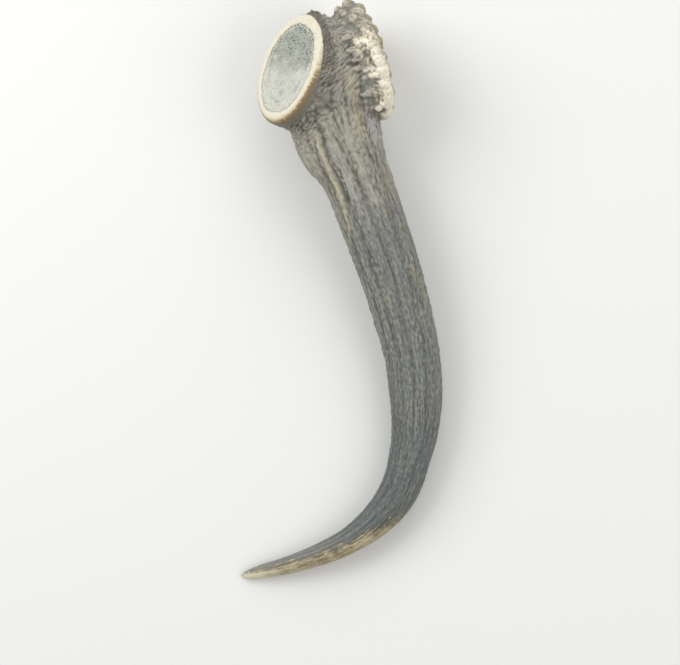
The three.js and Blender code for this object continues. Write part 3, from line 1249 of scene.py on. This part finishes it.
class Graph:
    """A small builder for a material's nodes."""

    def __init__(self, name: str) -> None:
        """Start a material with an empty tree.

        Args:
            name: the material's name.
        """
        self.material = bpy.data.materials.new(name)
        self.material.use_nodes = True
        self.tree = self.material.node_tree
        self.tree.nodes.clear()
        self.drawn: dict[str, Value] = {}

    def node(self, kind: str, **values: object) -> bpy.types.Node:
        """Add a node.

        Args:
            kind: the kind of node.
            values: its properties.

        Returns:
            The node.
        """
        made = self.tree.nodes.new(kind)
        for key, value in values.items():
            setattr(made, key, value)
        return made

    def feed(self, socket: Value, value: object) -> None:
        """Link a socket to an output, or set it to a number or a screen colour.

        Args:
            socket: the socket.
            value: the output, number or colour.
        """
        if isinstance(value, bpy.types.NodeSocket):
            self.tree.links.new(value, socket)
        else:
            socket.default_value = paint(value) if isinstance(value, tuple) else value

    def maths(self, operation: str, *numbers: object) -> Value:
        """Work out a product, a maximum or the like.

        Args:
            operation: what is worked out.
            numbers: the outputs and numbers that it takes.

        Returns:
            The result.
        """
        made = self.node("ShaderNodeMath", operation=operation)
        for socket, number in zip(made.inputs, numbers):
            self.feed(socket, number)
        return made.outputs[0]

    def product(self, a: object, b: object) -> Value:
        """Multiply two values."""
        return self.maths("MULTIPLY", a, b)

    def span(self, value: Value, low: float, high: float, to: tuple[float, float] = (0, 1)) -> Value:
        """Map a value onto another span, smoothly and with stops at the ends.

        Args:
            value: the value.
            low: what it is at the start of the span.
            high: what it is at the end of the span.
            to: the span's start and end.

        Returns:
            The mapped value.
        """
        made = self.node("ShaderNodeMapRange", interpolation_type="SMOOTHSTEP")
        for socket, number in zip(made.inputs, (value, low, high, *to)):
            self.feed(socket, number)
        return made.outputs[0]

    def blend(self, share: Value, under: object, over: object) -> Value:
        """Blend one colour into another.

        Args:
            share: how far the second hides the first.
            under: the first, an output or a screen colour.
            over: the second.

        Returns:
            The blend.
        """
        made = self.node("ShaderNodeMix", data_type="RGBA", clamp_result=True)
        for index, value in ((0, share), (6, under), (7, over)):
            self.feed(made.inputs[index], value)
        return made.outputs[2]

    def lay(self, under: object, value: Value, *layers: Layer) -> Value:
        """Lay colours over another, one after another, each where a value has it show.

        Args:
            under: the colour under them, an output or a screen colour.
            value: the value.
            layers: the colours laid over it.

        Returns:
            The result.
        """
        for layer in layers:
            share = self.span(value, layer.low, layer.high, (0, layer.most))
            under = self.blend(share, under, layer.colour)
        return under

    def read(self, name: str) -> Value:
        """Draw a noise, or read numbers that are stored on the mesh, each only once.

        Args:
            name: the noise's name in small letters, or the name that the numbers are stored as.

        Returns:
            The value.
        """
        if name not in self.drawn:
            noises = Noise.__members__
            stored = name.upper() not in noises
            made = self._stored(name).outputs["Fac"] if stored else self._noise(noises[name.upper()])
            self.drawn[name] = made
        return self.drawn[name]

    def _stored(self, name: str) -> bpy.types.Node:
        """Read what is stored on the mesh."""
        return self.node("ShaderNodeAttribute", attribute_name=name)

    def _scaled(self, source: str, across: float, along: float) -> Value:
        """Scale places, in metres, to features of a size.

        Args:
            source: the object's own place, or the name of vectors that are stored on the mesh.
            across: the size of the features across the grain.
            along: their size along it.

        Returns:
            The scaled places.
        """
        if source == "place":
            place = self.node("ShaderNodeTexCoord").outputs["Object"]
        else:
            place = self._stored(source).outputs["Vector"]
        made = self.node("ShaderNodeMapping", vector_type="POINT")
        self.feed(made.inputs["Vector"], place)
        made.inputs["Scale"].default_value = (1 / (across * MM), 1 / (across * MM), 1 / (along * MM))
        return made.outputs[0]

    def _noise(self, kind: Noise) -> Value:
        """Draw soft noise, around 0.5.

        Args:
            kind: which noise it is.

        Returns:
            The noise.
        """
        source, across, along, detail, roughness = kind.value
        made = self.node("ShaderNodeTexNoise")
        self.feed(made.inputs["Vector"], self._scaled(source, across, along))
        for name, number in (("Scale", 1.0), ("Detail", detail), ("Roughness", roughness)):
            made.inputs[name].default_value = number
        return made.outputs["Fac"]

    def spots(self, size: float) -> Value:
        """Draw cells of a size, as the distance from each cell's middle.

        Args:
            size: the cells' size.

        Returns:
            The distance, with 1 for the cells' size.
        """
        made = self.node("ShaderNodeTexVoronoi")
        self.feed(made.inputs["Vector"], self._scaled("place", size, size))
        made.inputs["Scale"].default_value = 1.0
        return made.outputs["Distance"]

    def total(self, **weights: float) -> Value:
        """Add up stored numbers and noises, each times its weight, with every noise made to lie round 0.

        Args:
            weights: the weight of each, by its name.

        Returns:
            The sum.
        """
        made = -0.5 * sum(weight for name, weight in weights.items() if name.upper() in Noise.__members__)
        for name, weight in weights.items():
            made = self.maths("MULTIPLY_ADD", self.read(name), weight, made)
        return made


class AntlerMaterial(Graph):
    """The antler's material, which follows the grain and the crests stored on its mesh."""

    def __init__(self, finish: AntlerFinish) -> None:
        """Build the material.

        Args:
            finish: its colours.
        """
        super().__init__(finish.name)
        self.finish = finish
        self.height = self.total(crest=0.36, ridge=0.42, band=1.15, hair=0.95, grit=1.1)
        self.crevice = self.total(crest=1.0, grit=0.6)
        tip = self.total(polish=1.0, crest=0.12, band=1.2, hair=0.8, grit=0.5, clouds=0.9)
        self.polish = self.span(tip, 0.4, 0.84)
        hole = self.span(self.spots(1.35), 0.2, 0.42, (1, 0))
        self.hole = self.product(hole, self.span(self.total(clouds=1.4, dense=1.0), 0.05, 0.75))

        colour = self.blend(self.read("burr"), self._furrows(), self._pearls())
        colour = self.blend(self.read("seal"), colour, self._seal())
        colour = self.lay(colour, tip, finish.tip_margin)
        colour = self.blend(self.polish, colour, self._tip())
        colour = self.blend(self.span(self.total(cut=1.0, hair=0.5), 0.25, 0.75), colour, self._cut())

        shader = self.node("ShaderNodeBsdfPrincipled")
        shader.inputs["Specular IOR Level"].default_value = 0.4
        self.feed(shader.inputs["Base Color"], colour)
        self.feed(shader.inputs["Roughness"], self._roughness())
        self.feed(shader.inputs["Normal"], self._bump())
        self.feed(self.node("ShaderNodeOutputMaterial").inputs["Surface"], shader.outputs[0])

    def _furrows(self) -> Value:
        """Colour the furrowed skin.

        Returns:
            The colour, with its ochre streaks, tan and pale marks, and the darkening towards the cut with
            painted shade under its rim and at the burr's end.
        """
        finish, bend = self.finish, self.read("bend")
        low, high = self.span(self.height, *finish.low), self.span(self.height, *finish.high)
        root, tine, turn = (
            self.blend(high, self.blend(low, groove, flank), crest)
            for groove, flank, crest in (finish.root, finish.tine, finish.bend)
        )
        colour = self.blend(bend, self.blend(self.read("root"), tine, root), turn)
        streak = self.total(band=2.2, patch=2.4, hair=1.2, crest=0.25)
        ochre = self.span(streak, finish.ochre.low, finish.ochre.high, (0, finish.ochre.most))
        colour = self.blend(self.product(ochre, self.span(bend, 0, 1, (1, 0.5))), colour, finish.ochre.colour)
        pale = self.product(self.read("pale"), self.span(self.height, finish.pale.low, finish.pale.high))
        colour = self.blend(pale, colour, finish.pale.colour)
        broken = self.span(self.total(hair=1.4, crest=0.35), finish.tan.low, finish.tan.high, (0.25, 1))
        colour = self.blend(self.product(self.read("tan"), broken), colour, finish.tan.colour)
        # darkening towards the cut, with painted shade under the sawn rim and at the burr's far end, a little
        # more in hollows
        return self.lay(colour, self.total(soil=1.0, patch=1.2, crest=-0.2), *finish.soil)

    def _pearls(self) -> Value:
        """Colour the pearls of the burr.

        Returns:
            The colour, from the valleys to the pearls that are worn to bone, darker with painted shade at the
            burr's far end and on its side towards the tine.
        """
        finish, crevice = self.finish, self.finish.crevice
        # bleach holds the pearls' wear and the painted shade at the burr's ends
        bare = self.total(ridge=0.62, crest=0.42, clouds=1.0, grit=0.8, bleach=1.75, hair=0.9)
        colour = self.lay(finish.valley, bare, *finish.pearls)
        colour = self.lay(colour, self.read("grit"), finish.pearl_grit)
        dark = self.span(self.crevice, crevice.low, crevice.high, (0, crevice.most))
        dark = self.product(dark, self.span(self.read("bleach"), 0.3, 0.9, (1, 0.4)))
        return self.blend(dark, colour, crevice.colour)

    def _seal(self) -> Value:
        """Colour the rough face under the burr.

        Returns:
            The colour, with its pale granules and grey crevices.
        """
        rubbed = self.total(crest=0.6, grit=1.3, clouds=2.4)
        colour = self.lay(self.finish.seal_ground, rubbed, *self.finish.seal)
        return self.lay(colour, self.crevice, self.finish.seal_crevice)

    def _tip(self) -> Value:
        """Colour the mottled ivory of the tip."""
        mottle = self.total(hair=1.5, grit=1.0, band=1.5, clouds=1.3, crest=0.25, end=0.9)
        return self.lay(self.finish.tip_ground, mottle, *self.finish.tip)

    def _core(self) -> Value:
        """Colour the spongy core of the sawn face.

        Returns:
            The colour, with its denser ring, a faint line inside that, and the pores.
        """
        finish, inner = self.finish, self.total(ring=1.0, grit=0.35)
        colour = self.lay(finish.core_ground, self.total(clouds=1.6, dense=1.0), finish.core)
        colour = self.lay(colour, inner, finish.core_ring)
        line = self.product(self.span(inner, 0.05, 0.4), self.span(inner, 0.75, 0.45))
        line = self.product(line, self.span(self.read("clouds"), 0.4, 0.62, (0.04, 0.34)))
        colour = self.blend(line, colour, finish.pore)
        colour = self.lay(colour, self.read("grit"), finish.core_grit)
        colour = self.blend(self.product(self.hole, 0.85), colour, finish.pore)
        deep = self.span(self.read("crest"), -0.35, -1.0)
        pit = self.product(deep, self.span(self.read("dense"), -0.1, 0.5, (0.2, 0.75)))
        return self.blend(pit, colour, finish.pore)

    def _cut(self) -> Value:
        """Colour the sawn face.

        Returns:
            The colour of its rim, its core and the fine dark line between them.
        """
        finish = self.finish
        stain, edge = self.total(worn=1.0, radial=1.15, grit=0.8), self.total(core=1.0, grit=0.7)
        bone = self.lay(finish.rim, stain, finish.rim_stain)
        bone = self.lay(bone, self.read("radial"), finish.rim_streak)
        bone = self.lay(bone, stain, finish.rim_edge)
        face = self.blend(self.span(edge, 0.4, 0.62), bone, self._core())
        line = self.product(self.span(edge, 0.15, 0.5), self.span(edge, 0.95, 0.55))
        return self.blend(self.product(line, 0.4), face, finish.pore)

    def _roughness(self) -> Value:
        """Make crests and the tip smoother than grooves, and the sawn face dull.

        Returns:
            The roughness.
        """
        rough = self.span(self.height, -0.6, 0.7, (0.82, 0.52))
        rough = self.maths("MULTIPLY_ADD", self.polish, -0.1, rough)
        return self.maths("MAXIMUM", rough, self.product(self.read("cut"), 0.74))

    def _bump(self) -> Value:
        """Raise the finest grain and sink the pores.

        Returns:
            The bumped direction.
        """
        pores = self.product(self.hole, self.read("cut"))
        bump = self.node("ShaderNodeBump")
        bump.inputs["Strength"].default_value = 0.6
        bump.inputs["Distance"].default_value = 0.4 * MM
        lift = self.maths("MULTIPLY_ADD", pores, -1.6, self.total(hair=1.2, grit=0.7))
        self.feed(bump.inputs["Height"], lift)
        return bump.outputs["Normal"]


# ---------- the whole antler ----------


@dataclass
class Places:
    """Where the points of a skin lie.

    Attributes:
        skin: the skin.
        on_beam: their places on the beam.
        on_tine: their places on the tine.
        tine: how far they belong to the tine and not the beam, from 0 to 1.
        turn: how far their grain is the tine's and not the beam's, from 0 to 1.
        grain: their places in the grain.
    """

    skin: Skin
    on_beam: Reading
    on_tine: Reading
    tine: Array
    turn: Array
    grain: Array


@dataclass
class Antler:
    """The whole antler as one grown piece.

    Attributes:
        coarse: the size of the faces that the fork is filleted with.
        detail: the size of the faces that the furrows are carved in.
        fork_top: where the grain of the two limbs meets.
        grain_turn: the value of y - x where the grain turns from one limb's to the other's.
        grain_blend: the half width of that turn at the fork's top.
        blend_growth: how much wider it gets for each millimetre away from there.
        crest: over how many rounds of averaging a narrow crest is found, and how high it is.
        ridge: the same for a broad one.
    """

    tine: BrowTine = field(default_factory=BrowTine)
    beam: MainBeam = field(default_factory=MainBeam)
    marks: RootMarks = field(default_factory=RootMarks)
    finish: AntlerFinish = field(default_factory=AntlerFinish)
    coarse: float = 1.4
    detail: float = 0.42
    most_triangles: int = 197000
    fork_blend: float = 7.0
    fork_top: Triple = (-4, 100, 52)
    grain_turn: float = 104.0
    grain_blend: float = 8.0
    blend_growth: float = 0.25
    beam_reach: float = 22.0
    tine_reach: float = 15.0
    crest: tuple[int, float] = (4, 0.12)
    ridge: tuple[int, float] = (60, 0.75)
    crease: Fade = Fade(4, 15, 1.0, 0.0)
    crease_start: Fade = Fade(4, 9)
    crease_stop: Fade = Fade(34, 41, 1.0, 0.0)
    core_edge: Fade = Fade(0.84, 0.94, 1.0, 0.0)
    ring_edge: Fade = Fade(-0.9, 0.6, 0.82, 0.68)
    root_end: Fade = Fade(0.08, 0.27)
    bend_start: Fade = Fade(0.42, 0.66)
    bend_end: Fade = Fade(0.78, 0.92, 1.0, 0.0)
    tip_start: tuple[Fade, Fade] = (Fade(0.64, 0.86, 0.0, 0.55), Fade(0.69, 0.76, 0.0, 0.45))
    tip_end: Fade = Fade(0.8, 1.0, 0.0, 0.42)
    tip_point: Fade = Fade(0.9, 1.0)
    soil_start: Fade = Fade(17, 30)
    soil_far: Fade = Fade(110, 125, 0.65, 1.0)
    # painted shade at the far end of the burr
    soil_end: Fade = Fade(134, 144, 0.0, 0.5)

    def __post_init__(self) -> None:
        """Give the beam its burr."""
        self.burr = Burr(self.beam)

    def _places(self, body: bpy.types.Object) -> Places:
        """Read where every point of the body lies, and its place in the grain, which runs from limb to limb.

        Args:
            body: the body.

        Returns:
            The places.
        """
        skin = Skin(body.data)
        beam, tine = self.beam.run, self.tine.run
        on_beam, on_tine = beam.read(skin.points), tine.read(skin.points)
        on_limb = smoothstep(-self.fork_blend, self.fork_blend, on_beam.out - on_tine.out)
        turned = np.array([-1, -1, 1])
        top = np.array([self.fork_top], float)
        meet = beam.read(top).unbent(self.beam_reach) - tine.read(top).unbent(self.tine_reach) * turned
        along_beam = on_beam.unbent(self.beam_reach)
        along_tine = on_tine.unbent(self.tine_reach) * turned + meet
        past_turn = (self.grain_turn - skin.points[:, 1] + skin.points[:, 0]) / math.sqrt(2)
        width = self.grain_blend + self.blend_growth * np.linalg.norm(skin.points - top, axis=1)
        turn = smoothstep(-width, width, past_turn)
        grain = mix(along_beam, along_tine, turn[:, None])
        return Places(skin, on_beam, on_tine, on_limb, turn, grain)

    def _body(self) -> bpy.types.Object:
        """Join the two smooth limbs and fillet the fork.

        Returns:
            The smooth body.
        """
        body = join([self.beam.blank(), self.tine.blank()], "antler")
        fuse(body, self.coarse)
        points = points_of(body.data)
        on_beam, on_tine = self.beam.run.read(points), self.tine.run.read(points)
        crease = self.crease.at(np.abs(on_beam.out - on_tine.out))
        crease *= self.crease_start.at(on_beam.along) * self.crease_stop.at(on_beam.along)
        smooth_where(body, crease, 40)
        return body

    def _carve(self, body: bpy.types.Object) -> None:
        """Carve the furrows, pits and the sawn face into the smooth skin.

        Args:
            body: the smooth body.
        """
        at = self._places(body)
        points, normals = at.skin.points, at.skin.normals
        root = self.marks.total("height", points, normals)
        plain = 1 - 0.25 * np.clip(np.abs(root), 0, 1)
        limbs = self.beam.relief(at.on_beam, at.grain), self.tine.relief(at.on_tine, at.grain)
        relief = mix(*limbs, at.turn) * mix(self.beam.furrowed(at.on_beam), 1.0, at.tine) * plain + root
        seal = self.burr.seal(at.on_beam)
        knobs = mix(self.burr.relief(points, normals), self.burr.seal_relief(points), seal)
        relief += self.burr.weight(at.on_beam) * (1 - at.tine) * knobs
        cut = self._cut(at)
        relief = relief * (1 - cut) + cut * self.beam.cut_relief(points, self._core(at.on_beam))
        points = points + normals * relief[:, None]
        points[:, 2] = np.maximum(points[:, 2], 0.0)
        put_points(body.data, points)

    def _cut(self, at: Places) -> Array:
        """Mark the sawn face and its worn edge.

        Args:
            at: where the points lie.

        Returns:
            A number from 0 to 1 for each.
        """
        facing = at.skin.normals @ unit(np.array(self.beam.sawn_normal))
        near = smoothstep(at.on_beam.length - 4.6, at.on_beam.length - 1.8, at.on_beam.along)
        return near * smoothstep(0.0, 0.3, facing) * (1 - at.tine)

    def _from_middle(self, on_beam: Reading) -> Array:
        """Say how far out on the sawn face a point is: 0 in its middle, 1 where the edge starts to turn."""
        half = np.array(self.beam.sections[-1][1:]) - self.beam.sawn_edge
        return np.hypot(on_beam.x / half[0], on_beam.y / half[1])

    def _wandering(self, on_beam: Reading, wide: tuple[float, int], fine: tuple[float, int]) -> Array:
        """Say how far out on the sawn face a point is, for a line that wanders a little.

        Args:
            on_beam: the points' places on the beam.
            wide: the size and the seed of the line's wide turns.
            fine: the same for its fine ones.

        Returns:
            0 in the middle of the face, about 1 where its edge starts to turn.
        """
        flat = np.column_stack([on_beam.x, on_beam.y, np.full(len(on_beam.x), 0.4)])
        wander = 0.05 * noise(flat / wide[0], wide[1]) + 0.02 * noise(flat / fine[0], fine[1])
        return self._from_middle(on_beam) + wander

    def _core(self, on_beam: Reading) -> Array:
        """Mark the spongy core of the sawn face."""
        return self.core_edge.at(self._wandering(on_beam, (13.0, Seed.CORE), (3.1, Seed.CORE_EDGE)))

    def _ring(self, on_beam: Reading) -> Array:
        """Mark the denser ring inside the rim of the sawn face, widest on the side towards the tine.

        Args:
            on_beam: the points' places on the beam.

        Returns:
            A number for each, from 0 inside the ring to 1 on it.
        """
        inner = self.ring_edge.at(-np.cos(on_beam.angle))
        out = self._wandering(on_beam, (9.0, Seed.RING), (2.6, Seed.RING_EDGE))
        return smoothstep(inner - 0.06, inner + 0.06, out)

    def _worn(self, on_beam: Reading) -> Array:
        """Say how stained and worn the rim of the sawn face is, most on the side towards the tine.

        Args:
            on_beam: the points' places on the beam.

        Returns:
            A number from 0 to about 1.5 for each.
        """
        angle, middle = on_beam.angle, self._from_middle(on_beam)
        toward_tine = smoothstep(-0.3, 0.8, -np.cos(angle) + 0.35 * np.sin(angle))
        outer = smoothstep(0.97, 1.15, middle) * (0.5 + 0.75 * toward_tine)
        return outer + 0.3 * toward_tine * smoothstep(0.9, 1.0, middle)

    def _soil(self, at: Places) -> Array:
        """Say how dark the skin is made: darker towards the cut, and painted shade under its rim and at the
        end of the burr.

        Args:
            at: where the points lie.

        Returns:
            A number from 0 to about 2 for each.
        """
        along, length, y = at.on_beam.along, at.on_beam.length, at.skin.points[:, 1]
        toward_cut = self.soil_start.at(along) * (1 - at.tine) * self.soil_far.at(y)
        # painted shade: a dark band just under the rim of the sawn face
        under_rim = smoothstep(length - 6.5, length - 2.0, along) * (1 - at.tine)
        # painted shade at the far end of the burr
        return toward_cut + self.soil_end.at(y) + 0.9 * under_rim

    def _polish(self, on_tine: Reading) -> Array:
        """Say how far the tine is rubbed to ivory: most at its tip and on the outside of its bend.

        Args:
            on_tine: the points' places on the tine.

        Returns:
            A number from 0 to 1 for each.
        """
        share = on_tine.share
        outer = on_tine.x / np.maximum(np.hypot(on_tine.x, on_tine.y), 0.1)
        start = sum(fade.at(share) for fade in self.tip_start)
        return np.clip(start * (0.47 + 0.8 * outer + self.tip_end.at(share)), 0, 1)

    def _store(self, body: bpy.types.Object) -> None:
        """Keep on the mesh what its material reads.

        Args:
            body: the carved body.
        """
        at = self._places(body)
        skin, on_beam, on_tine, tine, share = at.skin, at.on_beam, at.on_tine, at.tine, at.on_tine.share
        middle = self._from_middle(on_beam)
        stored = {
            "root": 1 - self.root_end.at(share) * tine,
            "bend": self.bend_start.at(share) * self.bend_end.at(share) * tine,
            "soil": self._soil(at),
            "bleach": self.burr.bleach(on_beam, skin.points),
            "end": self.tip_point.at(share),
            "burr": self.burr.weight(on_beam) * (1 - tine),
            "seal": self.burr.seal(on_beam) * (1 - tine),
            "cut": self._cut(at),
            "core": self._core(on_beam),
            "ring": self._ring(on_beam),
            "worn": self._worn(on_beam),
            "tan": np.clip(self.marks.total("tan", skin.points, skin.normals), 0, 1),
            "pale": np.clip(self.marks.total("pale", skin.points, skin.normals), 0, 1),
            "crest": skin.crest(*self.crest),
            "ridge": skin.crest(*self.ridge),
            "polish": tine * self._polish(on_tine),
            "dense": 0.7 * smoothstep(-6, 14, on_beam.x) - 0.1,
            "round": np.column_stack([on_beam.angle * self.beam_reach, middle * 5, share * 0]) * MM,
            "grain": at.grain * MM,
        }
        for name, values in stored.items():
            skin.store(name, values)

    def build(self) -> bpy.types.Object:
        """Make the antler, from its blanks to its finish.

        Returns:
            The antler.
        """
        body = join([self._body(), *self.burr.pearls()], "antler")
        fuse(body, self.detail)
        on_beam = self.beam.run.read(points_of(body.data))
        smooth_where(body, mix(0.25, 1.0, self.burr.weight(on_beam)), 11)
        self._carve(body)
        thin_out(body, self.most_triangles)
        self._store(body)
        bpy.ops.object.shade_smooth()
        body.data.materials.clear()
        body.data.materials.append(AntlerMaterial(self.finish).material)
        return body


# ---------- the studio ----------


@dataclass
class Studio:
    """A pale floor, soft lights and a camera straight above. Metres."""

    camera_height: float = 1.2
    camera_y: float = -0.0192
    view_width: float = 0.3502
    sensor: float = 36.0
    floor_size: float = 6.0
    floor_colour: Triple = (228, 228, 225)
    glow: float = 0.55
    lights: tuple[tuple[str, Triple, float, float], ...] = (
        ("key", (-0.8, 0.45, 0.85), 0.8, 8.8),
        ("fill", (0.85, -0.2, 0.9), 0.9, 4.2),
        ("back", (0.15, 0.95, 0.7), 0.7, 3.2),
    )

    def floor(self) -> bpy.types.Object:
        """Lay the floor that the antler rests on.

        Returns:
            The floor.
        """
        deselect_all()
        bpy.ops.mesh.primitive_plane_add(size=self.floor_size)
        floor = bpy.context.object
        floor.name = "floor"
        graph = Graph("floor")
        shader = graph.node("ShaderNodeBsdfPrincipled")
        graph.feed(shader.inputs["Base Color"], self.floor_colour)
        shader.inputs["Roughness"].default_value = 0.8
        graph.feed(graph.node("ShaderNodeOutputMaterial").inputs["Surface"], shader.outputs[0])
        floor.data.materials.append(graph.material)
        return floor

    def light(self) -> None:
        """Hang the soft lights, aimed at the antler, and set the surrounding glow."""
        for name, place, size, power in self.lights:
            deselect_all()
            bpy.ops.object.light_add(type="AREA", location=place)
            lamp = bpy.context.object
            lamp.name = name
            lamp.data.size = size
            lamp.data.energy = power
            lamp.rotation_euler = Vector(place).to_track_quat("Z", "Y").to_euler()
        world = bpy.data.worlds.new("studio")
        world.use_nodes = True
        world.node_tree.nodes["Background"].inputs["Color"].default_value = (1.0, 1.0, 1.0, 1.0)
        world.node_tree.nodes["Background"].inputs["Strength"].default_value = self.glow
        bpy.context.scene.world = world
        bpy.context.scene.view_settings.view_transform = "Standard"

    def camera(self) -> None:
        """Set the camera over the middle of the view, looking straight down."""
        deselect_all()
        bpy.ops.object.camera_add(location=(0, self.camera_y, self.camera_height), rotation=(0, 0, 0))
        camera = bpy.context.object
        camera.name = "camera"
        camera.data.sensor_width = self.sensor
        camera.data.lens = self.sensor * self.camera_height / self.view_width
        camera.data.clip_start = 0.05
        bpy.context.scene.camera = camera


def main() -> None:
    """Build the scene in order, and report each piece."""
    studio = Studio()
    studio.camera()
    studio.light()
    studio.floor()
    antler = Antler().build()
    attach(antler, "root")
    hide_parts("beam", "brow_tine")
    log.info("antler: %d points, %d faces", len(antler.data.vertices), len(antler.data.polygons))


if __name__ == "__main__":
    main()
